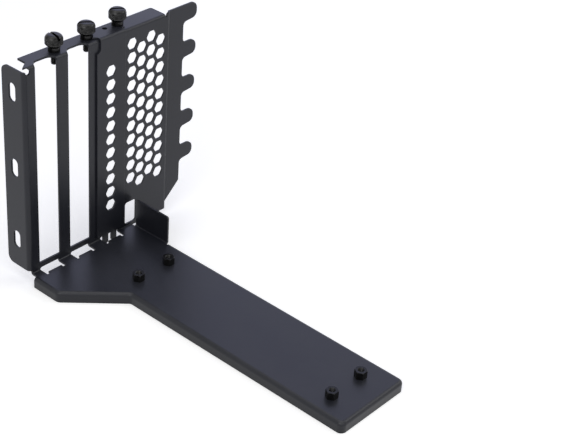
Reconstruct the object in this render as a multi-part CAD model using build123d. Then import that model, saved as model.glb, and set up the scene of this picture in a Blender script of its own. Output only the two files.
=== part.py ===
from build123d import *
import math
import os

os.makedirs("parts", exist_ok=True)

# Sizes in mm. While the parts are drawn, X = 0 is the middle of the first card slot, Y = 0 the face
# of the rear panel on the card side, and Z = 0 the lower edge of the tray's rim.

# Sheet metal
sheet = 1.0
bend_inside = 0.6
bend_outside = bend_inside + sheet
reach = 4.0

# Card slots in the rear panel
slot_pitch = 20.32
slot_width = 13.5
slot_bottom = 10.1
slot_bar = slot_pitch - slot_width
slot_top_depth = 3.8
slot_top_corner = 4.4
slot_count = 3

# Tray
tray_top = 6.0
tray_left = -slot_width / 2 - slot_bar
tray_near = 12.0
tray_far = 58.1
tray_end = -183.0
tray_wide_end = -20.8
tray_corner = 3.0
tray_shoulder_corner = 4.0
tray_inner_corner = 2.4
rim_bend = 2.0
rim_gap_left = -3.3
fold_left = -11.7
fold_right = 56.2

# Foot slots, one under each card slot, running from the tray up through the fold
foot_slot_left = -6.6
foot_slot_right = 5.8
foot_slot_depth = 3.9
foot_slot_leg = 5.5
foot_slot_leg_width = 2.0
foot_slot_top = 7.1
foot_slot_top_corner = 1.2

# Rear panel, ledge and side flange
ledge_top = 121.0
ledge_depth = 10.9
ledge_right = 78.3
ledge_left = -8.0
ledge_left_slant = 5.4
ledge_corner = 1.2
ledge_tip_left = -12.9
ledge_tip_depth = 1.6
flange_depth = 16.0
flange_bottom = 7.6
flange_top = 118.7
flange_corner = 3.8
flange_bend = 2.2

# Relief hole where the flange, the panel and the ledge meet
relief_left = -12.2
relief_right = -9.6
relief_bottom = 117.3
relief_slant_start = 119.3
relief_top = 121.8
relief_corner = 1.1
relief_depth = 1.6

# Bolt slots in the side flange
bolt_slot_width = 4.8
bolt_slot_length = 9.9
bolt_slot_pitch = 41.3
bolt_slot_y = 8.8
bolt_slot_middle = 64.6
bolt_slot_count = 3

# Hexagonal vents
vent_flats = 6.1
vent_corner = 1.3
vent_rows = 11
vent_pitch = 7.74
vent_column_pitch = 6.52
vent_columns = 4
vent_first_x = 55.64
vent_first_z = 112.05
cover_vent_z = 102.46

# Window beside the gusset
window_left = 51.6
window_width = 7.8
window_bottom = 7.2
window_height = 13.3
window_corner = 1.6

# Gusset on the far side of the tray
gusset_top = 21.8
gusset_back = -2.6
gusset_front = -26.2
gusset_corner = 1.2
gusset_relief = 1.2

# Comb with hooked fingers, stepped one sheet back
step_start = 80.9
comb_root = 92.1
comb_tip = 101.6
comb_top = 121.5
comb_rise = 79.2
comb_rise_corner = 1.6
comb_shoulder = 119.6
finger_count = 5
finger_top = 120.9
finger_height = 8.8
finger_slant = 0.9
finger_top_corner = 4.0
finger_low_corner = 3.2
finger_root_corner = 2.4
comb_low = 7.8
comb_low_corner = 1.5
comb_slant = 10.5

# Slot cover over the third slot
cover_width = 18.8
cover_ear_depth = 9.8
cover_ear_front = 1.8
cover_ear_corner = 1.6
cover_ear_overhang = 2.6
cover_shoulder = 7.9
cover_foot_width = 9.4
cover_foot_offset = -0.64
cover_foot_gap = 2.2
cover_foot_length = 5.4
cover_foot_chamfer = 0.8
cover_notch_depth = 2.4
cover_notch_bottom = 114.4
cover_notch_corner = 2.3
cover_notch_reach = 2.6
cover_screw_notch = 2.2
cover_ear_hole = 1.3
cover_ear_hole_x = 2.2
cover_ear_hole_y = 6.5

# Thumbscrews
screw_y = 6.0
screw_offset = slot_pitch / 2
thread_radius = 1.75
running_clearance = 0.05
thread_length = 7.2
thread_chamfer = 0.6
collar_radius = 2.95
collar_height = 1.4
head_radius = 4.45
head_height = 8.5
head_under = 3.0
head_dome = 2.2
driver_slot_width = 1.5
driver_slot_depth = 2.0
driver_slot_turns = [83.0, -38.0, -34.0]
neighbour_clearance = 0.35

# Hexagonal standoffs for the riser board
standoff_flats = 5.5
standoff_height = 4.0
standoff_bore = 1.25
standoff_shank = 2.1
shank_clearance = 0.02
standoff_spacing_x = 21.0
standoff_spacing_y = 127.0
standoff_middle_x = 34.2
standoff_back_y = -39.7
standoff_chamfer = 0.35

# The finished parts stand with the middle of their outer box, seen from above, on the origin
shift_x = -(tray_left + comb_tip) / 2
shift_y = -(tray_end + flange_depth) / 2
place = Location((shift_x, shift_y, 0))


def nearest(shape, *points):
    return [min(shape.vertices(), key=lambda v: (v.center() - Vector(*p)).length) for p in points]


def rounded(points, corners):
    face = make_face(Polyline(*points, close=True))
    for point, radius in corners:
        face = fillet(nearest(face, (*point, 0)), radius)
    return face


def along_x(face, x0, x1):
    # The face is drawn with its own X along Y and its own Y along Z
    return Plane((x0, 0, 0), x_dir=(0, 1, 0), z_dir=(1, 0, 0)) * extrude(face, x1 - x0)


def along_y(face, y0, y1):
    # The face is drawn with its own X along X and its own Y along Z
    return Plane((0, y1, 0), x_dir=(1, 0, 0), z_dir=(0, -1, 0)) * extrude(face, y1 - y0)


def along_z(face, z0, z1):
    return Pos(0, 0, z0) * extrude(face, z1 - z0)


def block(x0, x1, y0, y1, z0, z1):
    return Pos((x0 + x1) / 2, (y0 + y1) / 2, (z0 + z1) / 2) * Box(x1 - x0, y1 - y0, z1 - z0)


def rect(x0, x1, y0, y1):
    return Pos((x0 + x1) / 2, (y0 + y1) / 2) * Rectangle(x1 - x0, y1 - y0)


# Tray: a rounded plate with its rim turned down
def tray_outline(inset):
    slant = inset * math.tan(math.radians(22.5))
    x_left = tray_left + inset
    x_near = tray_near + inset
    x_far = tray_far - inset
    y_end = tray_end + inset
    y_wide = tray_wide_end + slant
    y_narrow = y_wide - (x_near - x_left)
    points = [(x_left, sheet), (x_left, y_wide), (x_near, y_narrow)]
    points += [(x_near, y_end), (x_far, y_end), (x_far, sheet)]
    outer = tray_corner - inset
    inner = tray_inner_corner + inset
    corners = [((x_left, y_wide), tray_shoulder_corner - inset), ((x_near, y_narrow), inner)]
    corners += [((x_near, y_end), outer), ((x_far, y_end), outer)]
    return rounded(points, corners)


def tray_block(inset, z0, z1, radius):
    body = along_z(tray_outline(inset), z0, z1)
    top = body.faces().sort_by(Axis.Z)[-1]
    edges = [e for e in top.edges() if e.center().Y < sheet - 0.01]
    return fillet(edges, radius)


tray = tray_block(0, 0, tray_top, rim_bend) - tray_block(sheet, -1, tray_top - sheet, rim_bend - sheet)
tray -= block(tray_left - 1, fold_left, rim_gap_left, sheet + 1, -1, tray_top + 1)
tray -= block(fold_right, tray_far + 1, gusset_front - gusset_relief, sheet + 1, -1, tray_top + 1)
tray -= block(tray_left, tray_far, -bend_outside, sheet + 1, -1, tray_top + 1)

# Fold from the tray up into the rear panel, and from the panel back into the ledge
fold_face = rounded(
    [(-reach, tray_top - sheet), (sheet, tray_top - sheet), (sheet, ledge_top - reach),
     (0, ledge_top - reach), (0, tray_top), (-reach, tray_top)],
    [((sheet, tray_top - sheet), bend_outside), ((0, tray_top), bend_inside)])
ledge_face = rounded(
    [(0, tray_top - sheet), (sheet, tray_top - sheet), (sheet, ledge_top - sheet),
     (ledge_depth, ledge_top - sheet), (ledge_depth, ledge_top), (0, ledge_top)],
    [((sheet, ledge_top - sheet), bend_inside), ((0, ledge_top), bend_outside)])
frame = tray + along_x(fold_face, fold_left, fold_right)
panel = along_x(ledge_face, fold_left, ledge_right)
panel -= block(fold_left - 1, fold_right, -1, sheet + 1, -1, tray_top + 2)
frame += panel

# Left end of the ledge: a pointed tip over the relief hole, slanted back to the ledge's own left edge
tip = along_x(ledge_face, ledge_tip_left, fold_left + 1)
frame += tip & block(ledge_tip_left, fold_left + 1, -1, ledge_depth, ledge_top - bend_outside, ledge_top)
slant_face = make_face(Polyline(
    (ledge_tip_left - 1, ledge_tip_depth), (ledge_tip_left, ledge_tip_depth),
    (ledge_left, ledge_left_slant), (ledge_left, ledge_depth + 1),
    (ledge_tip_left - 1, ledge_depth + 1), close=True))
frame -= along_z(slant_face, ledge_top - 2, ledge_top + 1)
right_corner = rounded(
    [(ledge_right - reach, ledge_depth - reach), (ledge_right, ledge_depth - reach),
     (ledge_right, ledge_depth), (ledge_right - reach, ledge_depth)],
    [((ledge_right, ledge_depth), ledge_corner)])
frame -= block(ledge_right - reach, ledge_right, ledge_depth - reach, ledge_depth,
               ledge_top - 2, ledge_top + 1)
frame += along_z(right_corner, ledge_top - sheet, ledge_top)

# Side flange, folded back from the panel
flange_face = rounded(
    [(tray_left, flange_depth), (tray_left + sheet, flange_depth), (tray_left + sheet, sheet),
     (tray_left + reach + 1, sheet), (tray_left + reach + 1, 0), (tray_left, 0)],
    [((tray_left, 0), flange_bend), ((tray_left + sheet, sheet), flange_bend - sheet)])
flange = along_z(flange_face, flange_bottom, flange_top)
flange_outline = rounded(
    [(-reach, flange_bottom), (flange_depth, flange_bottom),
     (flange_depth, flange_top), (-reach, flange_top)],
    [((flange_depth, flange_bottom), flange_corner), ((flange_depth, flange_top), flange_corner)])
flange = flange & along_x(flange_outline, tray_left - 1, tray_left + reach + 2)
frame += flange
relief_face = rounded(
    [(tray_left - 1, flange_top), (relief_left, flange_top), (relief_left, relief_bottom),
     (relief_right, relief_bottom), (relief_right, relief_slant_start), (ledge_tip_left, relief_top),
     (tray_left - 1, relief_top)],
    [((relief_left, relief_bottom), relief_corner), ((relief_right, relief_bottom), relief_corner),
     ((relief_right, relief_slant_start), relief_corner)])
frame -= along_y(relief_face, -1, relief_depth)

# Gusset, folded up from the far edge of the tray
gusset_face = rounded(
    [(fold_right - reach, tray_top - sheet), (tray_far, tray_top - sheet), (tray_far, gusset_top),
     (tray_far - sheet, gusset_top), (tray_far - sheet, tray_top), (fold_right - reach, tray_top)],
    [((tray_far, tray_top - sheet), bend_outside), ((tray_far - sheet, tray_top), bend_inside)])
gusset = along_y(gusset_face, gusset_front, gusset_back)
gusset_outline = rounded(
    [(gusset_front, 0), (gusset_back, 0), (gusset_back, gusset_top), (gusset_front, gusset_top)],
    [((gusset_back, gusset_top), gusset_corner), ((gusset_front, gusset_top), gusset_corner)])
frame += gusset & along_x(gusset_outline, fold_right - reach - 1, tray_far + 1)

# Comb: the panel steps back by one sheet, on a slant, and ends in hooked fingers
step_end = step_start + sheet
step_back = sheet * math.tan(math.radians(22.5))
step_face = make_face(Polyline(
    (step_start - reach, 0), (step_start, 0), (step_end, sheet), (comb_tip + 1, sheet),
    (comb_tip + 1, 2 * sheet), (step_end - step_back, 2 * sheet), (step_start - step_back, sheet),
    (step_start - reach, sheet), close=True))
comb_left = step_start - reach + sheet / 2
comb_points = [(comb_left, tray_top - sheet), (step_start, tray_top - sheet), (step_start, comb_low)]
comb_points += [(comb_root, comb_low + comb_slant)]
comb_corners = []
for index in reversed(range(finger_count)):
    high = finger_top - index * slot_pitch if index else comb_top
    low = finger_top - finger_height - index * slot_pitch
    comb_points += [(comb_root, low), (comb_tip, low + finger_slant), (comb_tip, high)]
    comb_corners += [((comb_root, low), finger_root_corner)]
    comb_corners += [((comb_tip, low + finger_slant), finger_low_corner)]
    comb_corners += [((comb_tip, high), finger_top_corner)]
    if index:
        comb_points += [(comb_root, high)]
        comb_corners += [((comb_root, high), finger_root_corner)]
comb_points += [(comb_rise, comb_top), (comb_rise, comb_shoulder), (ledge_right, comb_shoulder)]
comb_points += [(ledge_right, ledge_top - 2), (comb_left, ledge_top - 2)]
comb_corners += [((comb_rise, comb_top), comb_rise_corner)]
comb_corners += [((comb_root, comb_low + comb_slant), comb_low_corner)]
comb_outline = rounded(comb_points, comb_corners)
frame += along_z(step_face, 0, comb_top + 5) & along_y(comb_outline, -5, 5)

# Card slots, running up through the fold into the ledge, and the foot slots under them
for index in range(slot_count):
    middle = index * slot_pitch
    frame -= block(middle - slot_width / 2, middle + slot_width / 2, -1, 2, slot_bottom, ledge_top - 2)
    top_cut = rounded(
        [(middle - slot_width / 2, -1), (middle + slot_width / 2, -1),
         (middle + slot_width / 2, slot_top_depth), (middle - slot_width / 2, slot_top_depth)],
        [((middle - slot_width / 2, slot_top_depth), slot_top_corner),
         ((middle + slot_width / 2, slot_top_depth), slot_top_corner)])
    frame -= along_z(top_cut, ledge_top - 2.1, ledge_top + 1)
    left = middle + foot_slot_left
    right = middle + foot_slot_right
    foot_cut = make_face(Polyline(
        (left, 0), (left, -foot_slot_leg), (left + foot_slot_leg_width, -foot_slot_leg),
        (left + foot_slot_leg_width, -foot_slot_depth), (right - foot_slot_leg_width, -foot_slot_depth),
        (right - foot_slot_leg_width, -foot_slot_leg), (right, -foot_slot_leg), (right, 0), close=True))
    frame -= along_z(foot_cut, tray_top - sheet - 1, tray_top + bend_inside)
    fold_cut = rounded(
        [(left, tray_top - sheet - 1), (right, tray_top - sheet - 1),
         (right, foot_slot_top), (left, foot_slot_top)],
        [((left, foot_slot_top), foot_slot_top_corner)])
    frame -= along_y(fold_cut, -bend_outside, sheet + 1)

# Vents, window, bolt slots and screw holes
vent = fillet(RegularPolygon(vent_flats / 2, 6, major_radius=False).vertices(), vent_corner)
vents = []
for column in range(vent_columns):
    drop = vent_pitch / 2 if column % 2 else 0
    for row in range(vent_rows):
        x = vent_first_x + column * vent_column_pitch
        z = vent_first_z - drop - row * vent_pitch
        vents.append(Pos(x, z) * vent)
frame -= along_y(Sketch() + vents, -2, 3)
window = fillet(Rectangle(window_width, window_height).vertices(), window_corner)
window = Pos(window_left + window_width / 2, window_bottom + window_height / 2) * window
frame -= along_y(window, -1, 2)
for index in range(bolt_slot_count):
    z = bolt_slot_middle + (index - 1) * bolt_slot_pitch
    slot = Pos(bolt_slot_y, z) * SlotOverall(bolt_slot_length, bolt_slot_width, rotation=90)
    frame -= along_x(slot, tray_left - 1, tray_left + 2)
screw_places = [index * slot_pitch + screw_offset for index in range(slot_count)]
for x in screw_places:
    hole = Cylinder(thread_radius + running_clearance, 4)
    frame -= Pos(x, screw_y, ledge_top - sheet / 2) * hole
standoff_places = []
for name_y, y in [("back", standoff_back_y), ("front", standoff_back_y - standoff_spacing_y)]:
    for name_x, side in [("left", -1), ("right", 1)]:
        x = standoff_middle_x + side * standoff_spacing_x / 2
        standoff_places.append((f"standoff_{name_y}_{name_x}", x, y))
        frame -= Pos(x, y, tray_top - sheet / 2) * Cylinder(standoff_shank, 4)

# Slot cover over the third slot, with its ear on the ledge and its foot in the tray
cover_middle = (slot_count - 1) * slot_pitch
cover_left = cover_middle - cover_width / 2
cover_right = cover_middle + cover_width / 2
ear_top = ledge_top + sheet
cover_face = rounded(
    [(-sheet, cover_shoulder), (0, cover_shoulder), (0, ledge_top), (cover_ear_depth, ledge_top),
     (cover_ear_depth, ear_top), (-sheet, ear_top)],
    [((0, ledge_top), bend_inside), ((-sheet, ear_top), bend_outside)])
cover = along_x(cover_face, cover_left, cover_right)
ear_right = cover_right + cover_ear_overhang
ear = rounded(
    [(cover_right - 1, cover_ear_front), (ear_right, cover_ear_front), (ear_right, cover_ear_depth),
     (cover_right - 1, cover_ear_depth)],
    [((ear_right, cover_ear_front), cover_ear_corner)])
cover += along_z(ear, ledge_top, ear_top)
foot_middle = cover_middle + cover_foot_offset
for side in (-1, 1):
    prong_width = (cover_foot_width - cover_foot_gap) / 2
    prong_middle = foot_middle + side * (cover_foot_gap + prong_width) / 2
    prong = rect(prong_middle - prong_width / 2, prong_middle + prong_width / 2,
                 cover_shoulder - cover_foot_length, cover_shoulder + 1)
    prong = chamfer(prong.vertices().sort_by(Axis.Y)[:2], cover_foot_chamfer)
    cover += along_y(prong, -sheet, 0)
notch_right = cover_left + cover_notch_depth
face_notch = rounded(
    [(cover_left - 2, cover_notch_bottom), (notch_right, cover_notch_bottom), (notch_right, ear_top + 1),
     (cover_left - 2, ear_top + 1)],
    [((notch_right, cover_notch_bottom), cover_notch_corner)])
cover -= along_y(face_notch, -3, bend_inside)
ear_notch = rounded(
    [(cover_left - 2, -2), (notch_right, -2), (notch_right, cover_notch_reach),
     (cover_left - 2, cover_notch_reach)],
    [((notch_right, cover_notch_reach), cover_notch_corner)])
cover -= along_z(ear_notch, ledge_top - 1, ear_top + 1)
clear_round = Cylinder(collar_radius + neighbour_clearance, 6)
cover -= Pos(screw_places[-2], screw_y, ear_top) * clear_round
cover -= Pos(screw_places[-1], screw_y, ear_top) * Cylinder(cover_screw_notch, 6)
cover -= block(screw_places[-1], ear_right + 1, screw_y - cover_screw_notch, screw_y + cover_screw_notch,
               ledge_top - 1, ear_top + 1)
cover -= Pos(cover_middle + cover_ear_hole_x, cover_ear_hole_y, ear_top) * Cylinder(cover_ear_hole, 6)
cover_vents = [Pos(cover_middle, cover_vent_z - row * vent_pitch) * vent for row in range(vent_rows)]
cover -= along_y(Sketch() + cover_vents, -3, 1)


# Thumbscrew standing on Z = 0, with its thread below
def thumbscrew(turn):
    rings = [(0, -thread_length), (thread_radius - thread_chamfer, -thread_length)]
    rings += [(thread_radius, -thread_length + thread_chamfer), (thread_radius, 0), (collar_radius, 0)]
    rings += [(collar_radius, collar_height), (head_radius, head_under)]
    rings += [(head_radius, head_height), (0, head_height)]
    face = make_face(Polyline(*rings, close=True))
    face = fillet(nearest(face, (head_radius, head_height, 0)), head_dome)
    body = revolve(Plane.XZ * face, Axis.Z)
    slot = Rot(0, 0, turn) * Box(3 * head_radius, driver_slot_width, 2 * driver_slot_depth)
    return body - Pos(0, 0, head_height) * slot


# Standoff standing on Z = 0, with its corners turned off at the top and its shank through the tray
def standoff():
    body = extrude(RegularPolygon(standoff_flats / 2, 6, major_radius=False), standoff_height)
    across_corners = standoff_flats / math.cos(math.radians(30))
    turned_top = Cylinder(across_corners / 2, standoff_height)
    turned_top = chamfer(turned_top.faces().sort_by(Axis.Z)[-1].edges(), standoff_chamfer)
    body &= Pos(0, 0, standoff_height / 2) * turned_top
    body += Pos(0, 0, -sheet / 2) * Cylinder(standoff_shank - shank_clearance, sheet)
    return body - Pos(0, 0, standoff_height / 2) * Cylinder(standoff_bore, 4 * standoff_height)


parts = {"frame": frame, "slot_cover": cover}
seats = [ledge_top] * (slot_count - 1) + [ear_top]
for index, x in enumerate(screw_places):
    parts[f"thumbscrew_{index + 1}"] = Pos(x, screw_y, seats[index]) * thumbscrew(driver_slot_turns[index])
for name, x, y in standoff_places:
    parts[name] = Pos(x, y, tray_top) * standoff()

for name, shape in parts.items():
    solids = shape.solids()
    print(name, len(solids), round(sum(s.volume for s in solids), 1))
    export_step(place * Compound(solids) if len(solids) > 1 else place * solids[0], f"parts/{name}.step")
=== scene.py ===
"""A bracket of folded black steel that holds a graphics card upright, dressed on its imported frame."""
import math

import bmesh
import bpy
from mathutils import Matrix, Vector


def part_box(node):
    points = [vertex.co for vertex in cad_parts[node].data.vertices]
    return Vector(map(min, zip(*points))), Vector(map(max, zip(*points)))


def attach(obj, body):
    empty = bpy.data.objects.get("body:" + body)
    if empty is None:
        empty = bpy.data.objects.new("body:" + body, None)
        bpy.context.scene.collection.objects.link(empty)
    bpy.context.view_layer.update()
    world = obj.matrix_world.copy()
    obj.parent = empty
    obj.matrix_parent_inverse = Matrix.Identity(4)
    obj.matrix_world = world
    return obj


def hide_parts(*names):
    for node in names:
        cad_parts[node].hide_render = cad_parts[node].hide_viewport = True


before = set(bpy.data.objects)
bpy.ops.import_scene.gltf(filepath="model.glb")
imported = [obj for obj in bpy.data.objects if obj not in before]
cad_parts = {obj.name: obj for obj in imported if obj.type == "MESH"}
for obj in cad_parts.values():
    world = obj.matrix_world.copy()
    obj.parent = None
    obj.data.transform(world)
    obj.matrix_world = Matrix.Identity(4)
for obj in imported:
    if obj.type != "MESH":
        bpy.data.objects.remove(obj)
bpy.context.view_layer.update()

MM = 0.001

# Camera, as the photograph's perspective gives it, in metres and degrees
CAMERA_PLACE = Vector((-0.44535, -0.3908, 0.4366))
CAMERA_AZIMUTH = -51.043
CAMERA_ELEVATION = 32.685
CAMERA_ROLL = 4.641
CLIP_NEAR = 0.01
CLIP_FAR = 100
FOCAL_PIXELS = 1471.2
PHOTO_WIDTH_PIXELS = 569
SENSOR_MM = 36.0

# Spans of a noise that are stretched to a full change of tone or of gloss
TONE_SPAN = (0.35, 0.65)
GLOSS_SPAN = (0.3, 0.7)

# Cosines of the normal's lean at which an edge begins to look worn and is wholly worn
WORN_LEAN = (0.985, 0.80)
WORN_LEAN_SAMPLES = 6

# Powder coat: tones as linear red, green and blue, lengths in mm, bumps as strength and height in mm
COAT_DARK = (0.0105, 0.0115, 0.0165)
COAT_PALE = (0.0150, 0.0160, 0.0220)
COAT_SPECK = (0.030, 0.031, 0.036)
COAT_WORN = (0.050, 0.052, 0.058)
COAT_CLOUD_SCALE = 45
COAT_PEEL_SCALE = 900
COAT_PEEL_ROUGHNESS = 0.55
COAT_GRAIN_SCALE = 4200
COAT_PATCH_SCALE = 260
COAT_SPECK_SPAN = (0.66, 0.74)
COAT_SPECK_SHARE = (0, 0.35)
COAT_WORN_SPAN = (0.42, 0.62)
COAT_WORN_SHARE = (0.1, 0.6)
COAT_WORN_EDGE = 0.25
COAT_ROUNDING = 0.25
COAT_ROUNDING_SAMPLES = 8
COAT_ROUGHNESS = (0.31, 0.40)
COAT_SPECULAR = 0.33
COAT_PEEL_BUMP = (0.22, 0.05)
COAT_GRAIN_BUMP = (0.20, 0.01)

# Bend where the comb steps back, in mm. The comb's width runs from that bend to the fingers' tips.
COMB_WIDTH = 20.7
STEP_ROUNDING = 0.9
STEP_LEAN = 0.9
# The lean ends between these two distances past the bend
STEP_END = (0.02, 0.04)
# Y of the true normal at which a face begins to count as the panel's front, and wholly does
FRONT_FACING = (-0.9, -0.98)

# Black steel, with the same units as the coat
STEEL_CLOUD_SCALE = 420
STEEL_LATHE_SCALE = 700
STEEL_LATHE_SQUEEZE = 14
STEEL_WORN_SPAN = (0.4, 0.6)
STEEL_WORN_SHARE = (0.15, 0.7)
STEEL_WORN_GAIN = 3
STEEL_WORN_LIFT = 0.02
STEEL_WORN_EDGE = 0.12
STEEL_ROUNDING = 0.08
STEEL_ROUNDING_SAMPLES = 6
STEEL_LATHE_BUMP = (0.15, 0.01)

# Material name, dark and pale tone, range of roughness, share of metal
SCREW_STEEL = ("black_screw", (0.007, 0.007, 0.007), (0.036, 0.036, 0.036), (0.12, 0.28), 0.8)
STANDOFF_STEEL = ("black_standoff", (0.004, 0.004, 0.004), (0.010, 0.010, 0.011), (0.14, 0.26), 0.6)

# Studio, in metres. The floor's own light rises between two distances from the object.
FLOOR_REACH = 12.0
FLOOR_TONE = (0.9, 0.9, 0.9, 1)
FLOOR_LIFT_DISTANCES = (0.4, 2.0)
FLOOR_LIFT = (0.42, 0.85)
WORLD_TONE = (1, 1, 1, 1)
WORLD_LEVEL = 0.20
SOFTBOX_AIM = Vector((0, 0, 0.05))
SOFTBOXES = [
    # name, direction azimuth and elevation, distance, width, height, radiance as red, green and blue
    ("back_softbox", 129, 34, 1.7, 1.9, 1.2, (0.03, 0.07, 0.46)),
    ("top_softbox", 0, 88, 1.8, 1.8, 1.8, (1.2, 1.2, 1.2)),
    ("left_softbox", -75, 35, 1.6, 1.0, 1.0, (2.0, 2.0, 2.0)),
    ("right_softbox", 58, 38, 1.6, 0.9, 0.5, (2.2, 2.2, 2.2)),
    ("front_softbox", -15, 30, 1.6, 1.0, 0.7, (1.3, 1.3, 1.3)),
]

# Turned pieces: edges sharper than this stay sharp, and rings that nearly meet are this far apart in mm
SHARP_DEGREES = 38
RING_GAP = 0.01

# Thumbscrew sizes in mm and turns in degrees, with heights above the seat
HEAD_RADIUS = 4.45
HEAD_TOP = 8.5
HEAD_UNDER = 3.8
HEAD_UNDER_CHAMFER = 0.05
HEAD_DOME = 2.2
HEAD_DOME_ARC = (4, 86)
HEAD_DOME_STEPS = 10
HEAD_TOP_RING = 1.4
COLLAR_RADIUS = 2.95
COLLAR_TOP = 2.3
COLLAR_CHAMFER = 0.15
NECK_CHAMFER = 0.1
NECK_STEPS = 4
THREAD_RADIUS = 1.75
THREAD_DEPTH = 0.42
THREAD_PITCH = 0.794
THREAD_LENGTH = 7.2
THREAD_CHAMFER = 0.5
THREAD_CHAMFER_STEPS = 4
THREAD_STEPS = 72
THREAD_RUN_IN = 0.8
KNURL_LOW = 4.0
KNURL_HIGH = 6.4
KNURL_STEPS = 22
KNURL_TEETH = 28
KNURL_DEPTH = 0.24
KNURL_RUN_OUT = 0.25
# A groove's width as a share of the tooth pitch
KNURL_GROOVE = 0.625
# How far within the head's radius a place still counts as the head's side
KNURL_ZONE = 0.3
DRIVER_SLOT_WIDTH = 1.5
DRIVER_SLOT_DEPTH = 2.0
DRIVER_SLOT_TURNS = (83, -38, -34)
CUTTER_LENGTH = 4 * HEAD_RADIUS
CUTTER_TOP = HEAD_TOP + 1
THUMBSCREW_SEGMENTS = 272

# Standoff sizes in mm, with heights above the tray
SHEET = 1.0
STANDOFF_FLATS = 5.5
STANDOFF_SIDE_ANGLE = math.radians(60)
STANDOFF_CORNER_RADIUS = STANDOFF_FLATS / 2 / math.cos(STANDOFF_SIDE_ANGLE / 2)
STANDOFF_HEIGHT = 4.0
STANDOFF_CHAMFER = 0.35
STANDOFF_CHAMFER_STEPS = 4
STANDOFF_SHANK = 2.08
STANDOFF_BORE = 1.25
STANDOFF_MOUTH_WIDTH = 0.4
STANDOFF_MOUTH_DEPTH = 0.35
STANDOFF_THREAD_PITCH = 0.5
STANDOFF_THREAD_DEPTH = 0.22
STANDOFF_THREAD_LOW = -0.9
STANDOFF_THREAD_STEPS = 72
STANDOFF_SEGMENTS = 72


def direction(azimuth, elevation):
    """The unit vector from the object towards a viewer at that azimuth and elevation in degrees."""
    turn = math.radians(azimuth)
    rise = math.radians(elevation)
    return Vector((math.sin(turn) * math.cos(rise), -math.cos(turn) * math.cos(rise), math.sin(rise)))


def add_object(name, data):
    """A new object in the scene."""
    thing = bpy.data.objects.new(name, data)
    bpy.context.scene.collection.objects.link(thing)
    return thing


def add_camera():
    """The photograph's camera, rolled about its own line of sight."""
    back = direction(CAMERA_AZIMUTH, CAMERA_ELEVATION)
    right = Vector((0, 0, 1)).cross(back).normalized()
    up = back.cross(right)
    roll = math.radians(CAMERA_ROLL)
    rolled_right = right * math.cos(roll) + up * math.sin(roll)
    rolled_up = up * math.cos(roll) - right * math.sin(roll)
    data = bpy.data.cameras.new("camera")
    data.sensor_fit = "HORIZONTAL"
    data.sensor_width = SENSOR_MM
    data.lens = FOCAL_PIXELS / PHOTO_WIDTH_PIXELS * SENSOR_MM
    data.clip_start = CLIP_NEAR
    data.clip_end = CLIP_FAR
    camera = add_object("camera", data)
    camera.matrix_world = Matrix((rolled_right, rolled_up, back)).transposed().to_4x4()
    camera.matrix_world.translation = CAMERA_PLACE
    bpy.context.scene.camera = camera


# Node helpers
def new_material(name):
    material = bpy.data.materials.new(name)
    material.use_nodes = True
    nodes = material.node_tree.nodes
    nodes.clear()
    return material, nodes, material.node_tree.links


def surfaced(material, surface):
    """The material with this surface at its output."""
    output = material.node_tree.nodes.new("ShaderNodeOutputMaterial")
    material.node_tree.links.new(surface, output.inputs["Surface"])
    return material


def object_place(nodes):
    return nodes.new("ShaderNodeTexCoord").outputs["Object"]


def noise(nodes, links, place, scale, detail, roughness=0.5):
    node = nodes.new("ShaderNodeTexNoise")
    node.inputs["Scale"].default_value = scale
    node.inputs["Detail"].default_value = detail
    node.inputs["Roughness"].default_value = roughness
    links.new(place, node.inputs["Vector"])
    return node.outputs["Fac"]


def ranged(nodes, links, value, span, result):
    """The value moved from one pair of ends to another, and held at the ends."""
    node = nodes.new("ShaderNodeMapRange")
    node.inputs["From Min"].default_value = span[0]
    node.inputs["From Max"].default_value = span[1]
    node.inputs["To Min"].default_value = result[0]
    node.inputs["To Max"].default_value = result[1]
    links.new(value, node.inputs["Value"])
    return node.outputs["Result"]


def mixed(nodes, links, factor, first, second):
    """A mix of two tones, each a tuple or another node's output."""
    node = nodes.new("ShaderNodeMix")
    node.data_type = "RGBA"
    links.new(factor, node.inputs["Factor"])
    for socket, tone in ((node.inputs["A"], first), (node.inputs["B"], second)):
        if isinstance(tone, tuple):
            socket.default_value = (*tone, 1)
        else:
            links.new(tone, socket)
    return node.outputs["Result"]


def combined(nodes, links, operation, first, second):
    """The sum or product of two values, held between 0 and 1."""
    node = nodes.new("ShaderNodeMath")
    node.operation = operation
    node.use_clamp = True
    links.new(first, node.inputs[0])
    links.new(second, node.inputs[1])
    return node.outputs["Value"]


def vector_math(nodes, links, operation, *vectors):
    node = nodes.new("ShaderNodeVectorMath")
    node.operation = operation
    for vector, socket in zip(vectors, node.inputs):
        links.new(vector, socket)
    return node


def rounded_normal(nodes, radius, samples):
    """The normal as if edges were rounded, with the radius in mm."""
    node = nodes.new("ShaderNodeBevel")
    node.samples = samples
    node.inputs["Radius"].default_value = radius * MM
    return node.outputs["Normal"]


def bumped(nodes, links, height, bump, normal):
    """The normal bent by a bump of this strength and height in mm."""
    node = nodes.new("ShaderNodeBump")
    node.inputs["Strength"].default_value = bump[0]
    node.inputs["Distance"].default_value = bump[1] * MM
    links.new(height, node.inputs["Height"])
    links.new(normal, node.inputs["Normal"])
    return node.outputs["Normal"]


def worn_edges(nodes, links, tone, worn_tone, radius, patches):
    """The tone made paler where the rounded normal leans away, more in some patches than in others."""
    geometry = nodes.new("ShaderNodeNewGeometry")
    rounded = rounded_normal(nodes, radius, WORN_LEAN_SAMPLES)
    agreement = vector_math(nodes, links, "DOT_PRODUCT", rounded, geometry.outputs["Normal"])
    edge = ranged(nodes, links, agreement.outputs["Value"], WORN_LEAN, (0, 1))
    share = combined(nodes, links, "MULTIPLY", edge, patches)
    return mixed(nodes, links, share, tone, worn_tone)


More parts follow.
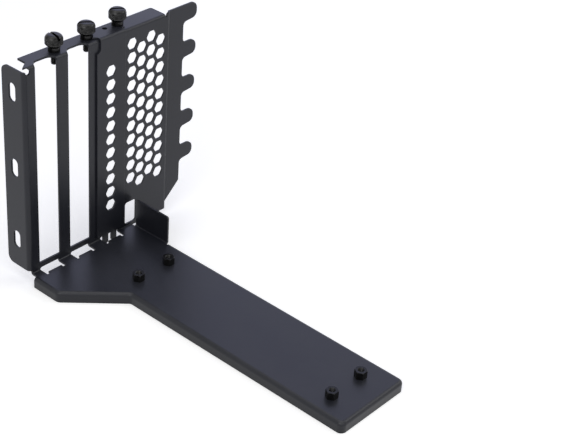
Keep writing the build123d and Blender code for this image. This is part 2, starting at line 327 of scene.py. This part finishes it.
def principled(nodes, links, tone, roughness, normal):
    shader = nodes.new("ShaderNodeBsdfPrincipled")
    links.new(tone, shader.inputs["Base Color"])
    links.new(roughness, shader.inputs["Roughness"])
    links.new(normal, shader.inputs["Normal"])
    return shader


# Materials
def step_bend(nodes, links, place):
    """How the panel's face leans over towards the comb, close to the bend where the comb steps back."""
    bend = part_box("frame")[1][0] - COMB_WIDTH * MM
    split = nodes.new("ShaderNodeSeparateXYZ")
    links.new(place, split.inputs["Vector"])
    across = split.outputs["X"]
    near = ranged(nodes, links, across, (bend - STEP_ROUNDING * MM, bend), (0, STEP_LEAN))
    before = ranged(nodes, links, across, (bend + STEP_END[0] * MM, bend + STEP_END[1] * MM), (1, 0))
    geometry = nodes.new("ShaderNodeNewGeometry")
    facing = nodes.new("ShaderNodeSeparateXYZ")
    links.new(geometry.outputs["True Normal"], facing.inputs["Vector"])
    front = ranged(nodes, links, facing.outputs["Y"], FRONT_FACING, (0, 1))
    lean = combined(nodes, links, "MULTIPLY", near, before)
    lean = combined(nodes, links, "MULTIPLY", lean, front)
    sideways = nodes.new("ShaderNodeCombineXYZ")
    links.new(lean, sideways.inputs["X"])
    return sideways.outputs["Vector"]


def powder_coat():
    """Satin black powder coat: slight orange peel, a bluish black, edges rubbed a little lighter."""
    material, nodes, links = new_material("powder_coat")
    place = object_place(nodes)
    cloud = noise(nodes, links, place, COAT_CLOUD_SCALE, detail=3)
    peel = noise(nodes, links, place, COAT_PEEL_SCALE, detail=2, roughness=COAT_PEEL_ROUGHNESS)
    grain = noise(nodes, links, place, COAT_GRAIN_SCALE, detail=1)
    patch = noise(nodes, links, place, COAT_PATCH_SCALE, detail=3)
    speck = ranged(nodes, links, grain, COAT_SPECK_SPAN, COAT_SPECK_SHARE)
    patches = ranged(nodes, links, patch, COAT_WORN_SPAN, COAT_WORN_SHARE)
    tone = mixed(nodes, links, ranged(nodes, links, cloud, TONE_SPAN, (0, 1)), COAT_DARK, COAT_PALE)
    tone = mixed(nodes, links, speck, tone, COAT_SPECK)
    tone = worn_edges(nodes, links, tone, COAT_WORN, COAT_WORN_EDGE, patches)
    rounded = rounded_normal(nodes, COAT_ROUNDING, COAT_ROUNDING_SAMPLES)
    leaning = vector_math(nodes, links, "ADD", rounded, step_bend(nodes, links, place))
    unit = vector_math(nodes, links, "NORMALIZE", leaning.outputs["Vector"])
    normal = bumped(nodes, links, peel, COAT_PEEL_BUMP, unit.outputs["Vector"])
    normal = bumped(nodes, links, grain, COAT_GRAIN_BUMP, normal)
    gloss = ranged(nodes, links, cloud, GLOSS_SPAN, COAT_ROUGHNESS)
    shader = principled(nodes, links, tone, gloss, normal)
    shader.inputs["Specular IOR Level"].default_value = COAT_SPECULAR
    return surfaced(material, shader.outputs["BSDF"])


def black_steel(name, dark, pale, roughness, metallic):
    """Turned steel with a thin black finish: fine lathe marks and paler worn edges."""
    material, nodes, links = new_material(name)
    place = object_place(nodes)
    squeezed = nodes.new("ShaderNodeMapping")
    squeezed.inputs["Scale"].default_value = (1, 1, STEEL_LATHE_SQUEEZE)
    links.new(place, squeezed.inputs["Vector"])
    cloud = noise(nodes, links, place, STEEL_CLOUD_SCALE, detail=3)
    lathe = noise(nodes, links, squeezed.outputs["Vector"], STEEL_LATHE_SCALE, detail=2)
    patches = ranged(nodes, links, cloud, STEEL_WORN_SPAN, STEEL_WORN_SHARE)
    worn_tone = tuple(STEEL_WORN_GAIN * channel + STEEL_WORN_LIFT for channel in pale)
    tone = mixed(nodes, links, ranged(nodes, links, cloud, TONE_SPAN, (0, 1)), dark, pale)
    tone = worn_edges(nodes, links, tone, worn_tone, STEEL_WORN_EDGE, patches)
    rounded = rounded_normal(nodes, STEEL_ROUNDING, STEEL_ROUNDING_SAMPLES)
    normal = bumped(nodes, links, lathe, STEEL_LATHE_BUMP, rounded)
    gloss = ranged(nodes, links, cloud, GLOSS_SPAN, roughness)
    shader = principled(nodes, links, tone, gloss, normal)
    shader.inputs["Metallic"].default_value = metallic
    return surfaced(material, shader.outputs["BSDF"])


def seen_rays(nodes, links):
    """1 for rays that show the surroundings: seen directly, in a reflection or through glass."""
    path = nodes.new("ShaderNodeLightPath")
    seen = path.outputs["Is Camera Ray"]
    for kind in ("Is Glossy Ray", "Is Transmission Ray"):
        seen = combined(nodes, links, "ADD", seen, path.outputs[kind])
    return seen


def white_floor():
    """A pale floor that is seen as white, also in glossy surfaces, with the object's shadow on it."""
    material, nodes, links = new_material("white_floor")
    diffuse = nodes.new("ShaderNodeBsdfDiffuse")
    diffuse.inputs["Color"].default_value = FLOOR_TONE
    away = vector_math(nodes, links, "LENGTH", object_place(nodes))
    lift = ranged(nodes, links, away.outputs["Value"], FLOOR_LIFT_DISTANCES, FLOOR_LIFT)
    emission = nodes.new("ShaderNodeEmission")
    strength = combined(nodes, links, "MULTIPLY", seen_rays(nodes, links), lift)
    links.new(strength, emission.inputs["Strength"])
    both = nodes.new("ShaderNodeAddShader")
    links.new(diffuse.outputs["BSDF"], both.inputs[0])
    links.new(emission.outputs["Emission"], both.inputs[1])
    return surfaced(material, both.outputs["Shader"])


# Studio
def add_floor():
    size = FLOOR_REACH
    data = bpy.data.meshes.new("floor")
    corners = [(-size, -size, 0), (size, -size, 0), (size, size, 0), (-size, size, 0)]
    data.from_pydata(corners, [], [(0, 1, 2, 3)])
    data.materials.append(white_floor())
    floor = add_object("floor", data)


def add_softboxes():
    """Area lamps turned to the object. A lamp's power is its radiance times its area and pi."""
    for name, azimuth, elevation, distance, width, height, radiance in SOFTBOXES:
        data = bpy.data.lights.new(name, "AREA")
        data.shape = "RECTANGLE"
        data.size = width
        data.size_y = height
        data.energy = max(radiance) * math.pi * width * height
        data.color = [channel / max(radiance) for channel in radiance]
        towards = direction(azimuth, elevation)
        lamp = add_object(name, data)
        lamp.location = SOFTBOX_AIM + towards * distance
        lamp.rotation_euler = towards.to_track_quat("Z", "Y").to_euler()


def add_world():
    """White surroundings, at full strength only where they are seen."""
    world = bpy.data.worlds.new("studio")
    world.use_nodes = True
    nodes = world.node_tree.nodes
    links = world.node_tree.links
    nodes.clear()
    background = nodes.new("ShaderNodeBackground")
    background.inputs["Color"].default_value = WORLD_TONE
    strength = ranged(nodes, links, seen_rays(nodes, links), (0, 1), (WORLD_LEVEL, 1))
    links.new(strength, background.inputs["Strength"])
    output = nodes.new("ShaderNodeOutputWorld")
    links.new(background.outputs["Background"], output.inputs["Surface"])
    bpy.context.scene.world = world


# Turned pieces
def mesh_data(mesh, name):
    """Mesh data from a bmesh, which is freed."""
    data = bpy.data.meshes.new(name)
    mesh.to_mesh(data)
    mesh.free()
    return data


def turned(name, profile, segments, ripple, closed=False):
    """A surface turned about Z from a profile of (radius, height) in mm.

    ripple(angle, radius, height) says how far a place moves out from the profile. A closed profile joins
    its last ring to its first.
    """
    mesh = bmesh.new()
    rings = []
    for radius, height in profile:
        if radius == 0:
            rings.append([mesh.verts.new((0, 0, height * MM))])
            continue
        ring = []
        for index in range(segments):
            angle = 2 * math.pi * index / segments
            reach = (radius + ripple(angle, radius, height)) * MM
            ring.append(mesh.verts.new((reach * math.cos(angle), reach * math.sin(angle), height * MM)))
        rings.append(ring)
    pairs = list(zip(rings, rings[1:]))
    if closed:
        pairs.append((rings[-1], rings[0]))
    for low, high in pairs:
        for index in range(segments):
            after = (index + 1) % segments
            if len(low) == 1:
                mesh.faces.new((low[0], high[after], high[index]))
            elif len(high) == 1:
                mesh.faces.new((low[index], low[after], high[0]))
            else:
                mesh.faces.new((low[index], low[after], high[after], high[index]))
    bmesh.ops.recalc_face_normals(mesh, faces=mesh.faces)
    return add_object(name, mesh_data(mesh, name))


def arc(middle_radius, middle_height, size, start, end, steps):
    """Points of an arc in a profile, angles in degrees from the radius direction."""
    points = []
    for index in range(steps + 1):
        angle = math.radians(start + (end - start) * index / steps)
        points.append((middle_radius + size * math.cos(angle), middle_height + size * math.sin(angle)))
    return points


def ladder(low_radius, low, high_radius, high, steps):
    """Points of a straight stretch in a profile, evenly apart."""
    return [(low_radius + (high_radius - low_radius) * index / steps, low + (high - low) * index / steps)
            for index in range(steps + 1)]


def tooth(turns):
    """How near a place is to the ends of its tooth: 0 in the middle of each whole turn, 1 at its ends."""
    return abs(2 * (turns % 1.0) - 1)


def knurl_and_thread(angle, radius, height):
    """Cuts the diamond knurl round the head and the helical thread along the shank."""
    around = angle / (2 * math.pi)
    if height < 0:
        fade = min(1.0, (height + THREAD_LENGTH) / THREAD_RUN_IN)
        return -THREAD_DEPTH * (1 - tooth(height / THREAD_PITCH - around) * fade)
    if radius > HEAD_RADIUS - KNURL_ZONE and KNURL_LOW < height < KNURL_HIGH:
        fade = min(1.0, (height - KNURL_LOW) / KNURL_RUN_OUT, (KNURL_HIGH - height) / KNURL_RUN_OUT)
        slant = (height - KNURL_LOW) / (2 * math.pi * HEAD_RADIUS / KNURL_TEETH)
        nearest = min(tooth(around * KNURL_TEETH + slant), tooth(around * KNURL_TEETH - slant))
        return -KNURL_DEPTH * fade * max(0, 1 - nearest / KNURL_GROOVE)
    return 0


def thumbscrew_profile():
    chamfer_top = THREAD_CHAMFER - THREAD_LENGTH
    points = [(0, -THREAD_LENGTH)]
    points += ladder(THREAD_RADIUS - THREAD_CHAMFER, -THREAD_LENGTH, THREAD_RADIUS, chamfer_top,
                     THREAD_CHAMFER_STEPS)
    points += ladder(THREAD_RADIUS, chamfer_top, THREAD_RADIUS, -2 * RING_GAP, THREAD_STEPS)[1:]
    points += [(COLLAR_RADIUS - COLLAR_CHAMFER, 0), (COLLAR_RADIUS, COLLAR_CHAMFER)]
    points += [(COLLAR_RADIUS, COLLAR_TOP - NECK_CHAMFER)]
    points += ladder(COLLAR_RADIUS + NECK_CHAMFER, COLLAR_TOP, HEAD_RADIUS - NECK_CHAMFER,
                     HEAD_UNDER - NECK_CHAMFER, NECK_STEPS)
    points += [(HEAD_RADIUS, HEAD_UNDER + HEAD_UNDER_CHAMFER)]
    points += ladder(HEAD_RADIUS, KNURL_LOW, HEAD_RADIUS, KNURL_HIGH, KNURL_STEPS)
    points += arc(HEAD_RADIUS - HEAD_DOME, HEAD_TOP - HEAD_DOME, HEAD_DOME, *HEAD_DOME_ARC, HEAD_DOME_STEPS)
    points += [(HEAD_TOP_RING, HEAD_TOP), (0, HEAD_TOP)]
    return points


def cut_driver_slot(piece, turn):
    """Cuts the driver slot across the head, turned by this angle."""
    low = HEAD_TOP - DRIVER_SLOT_DEPTH
    mesh = bmesh.new()
    bmesh.ops.create_cube(mesh, size=1.0)
    sizes = (CUTTER_LENGTH * MM, DRIVER_SLOT_WIDTH * MM, (CUTTER_TOP - low) * MM)
    bmesh.ops.scale(mesh, vec=sizes, verts=mesh.verts)
    bmesh.ops.translate(mesh, vec=(0, 0, (low + CUTTER_TOP) / 2 * MM), verts=mesh.verts)
    bmesh.ops.rotate(mesh, cent=(0, 0, 0), matrix=Matrix.Rotation(turn, 3, "Z"), verts=mesh.verts)
    cutter = add_object("cutter", mesh_data(mesh, "cutter"))
    modifier = piece.modifiers.new("slot", "BOOLEAN")
    modifier.operation = "DIFFERENCE"
    modifier.object = cutter
    modifier.solver = "EXACT"
    graph = bpy.context.evaluated_depsgraph_get()
    cut = bpy.data.meshes.new_from_object(piece.evaluated_get(graph))
    piece.modifiers.clear()
    piece.data = cut
    bpy.data.objects.remove(cutter)


def sharp_by_angle(piece):
    """Smooth shading that breaks at sharp edges."""
    mesh = bmesh.new()
    mesh.from_mesh(piece.data)
    for face in mesh.faces:
        face.smooth = True
    for edge in mesh.edges:
        edge.smooth = len(edge.link_faces) == 2 and edge.calc_face_angle(0) < math.radians(SHARP_DEGREES)
    mesh.to_mesh(piece.data)
    mesh.free()


def stand_in(piece, node, top, material):
    """Shades a turned piece and sets it, with its top at this height in mm, where its node stands."""
    sharp_by_angle(piece)
    low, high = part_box(node)
    piece.location = ((low[0] + high[0]) / 2, (low[1] + high[1]) / 2, high[2] - top * MM)
    piece.data.materials.append(material)


def add_thumbscrews(material):
    for index, turn in enumerate(DRIVER_SLOT_TURNS):
        node = f"thumbscrew_{index + 1}"
        piece = turned(f"turned_{node}", thumbscrew_profile(), THUMBSCREW_SEGMENTS, knurl_and_thread)
        cut_driver_slot(piece, math.radians(turn))
        stand_in(piece, node, HEAD_TOP, material)
        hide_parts(node)
        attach(piece, f"screw_{index + 1}")


def hexagon_and_thread(angle, radius, height):
    """Keeps the outside within the hexagon and cuts the thread in the bore."""
    if radius > STANDOFF_SHANK:
        # The tiny turn keeps a corner's own angle on one side of it
        past_corner = (angle + 1e-9) % STANDOFF_SIDE_ANGLE
        flat = STANDOFF_FLATS / 2 / math.cos(past_corner - STANDOFF_SIDE_ANGLE / 2)
        return min(0, flat - radius)
    if radius > STANDOFF_BORE or height < STANDOFF_THREAD_LOW:
        return 0
    return STANDOFF_THREAD_DEPTH * (1 - tooth(height / STANDOFF_THREAD_PITCH - angle / (2 * math.pi)))


def standoff_profile():
    """A closed profile: up the outside, over the top and down the bore."""
    radius = STANDOFF_CORNER_RADIUS
    shoulder = STANDOFF_HEIGHT - STANDOFF_CHAMFER
    mouth = STANDOFF_HEIGHT - STANDOFF_MOUTH_DEPTH
    points = [(STANDOFF_BORE, -SHEET), (STANDOFF_SHANK, -SHEET), (STANDOFF_SHANK, -RING_GAP), (radius, 0)]
    points += ladder(radius, shoulder, radius - STANDOFF_CHAMFER, STANDOFF_HEIGHT, STANDOFF_CHAMFER_STEPS)
    points += [(STANDOFF_BORE + STANDOFF_MOUTH_WIDTH, STANDOFF_HEIGHT), (STANDOFF_BORE, mouth)]
    points += ladder(STANDOFF_BORE, mouth - RING_GAP, STANDOFF_BORE, RING_GAP - SHEET,
                     STANDOFF_THREAD_STEPS)
    return points


def add_standoffs(material):
    for end in ("back", "front"):
        for side in ("left", "right"):
            node = f"standoff_{end}_{side}"
            piece = turned(f"turned_{node}", standoff_profile(), STANDOFF_SEGMENTS, hexagon_and_thread,
                           closed=True)
            stand_in(piece, node, STANDOFF_HEIGHT, material)
            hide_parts(node)
            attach(piece, "bracket")


def dress_sheet_metal(material):
    for node in ("frame", "slot_cover"):
        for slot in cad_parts[node].material_slots:
            slot.material = material


add_camera()
add_floor()
add_softboxes()
add_world()
dress_sheet_metal(powder_coat())
add_thumbscrews(black_steel(*SCREW_STEEL))
add_standoffs(black_steel(*STANDOFF_STEEL))

bpy.context.scene.view_settings.view_transform = "Standard"
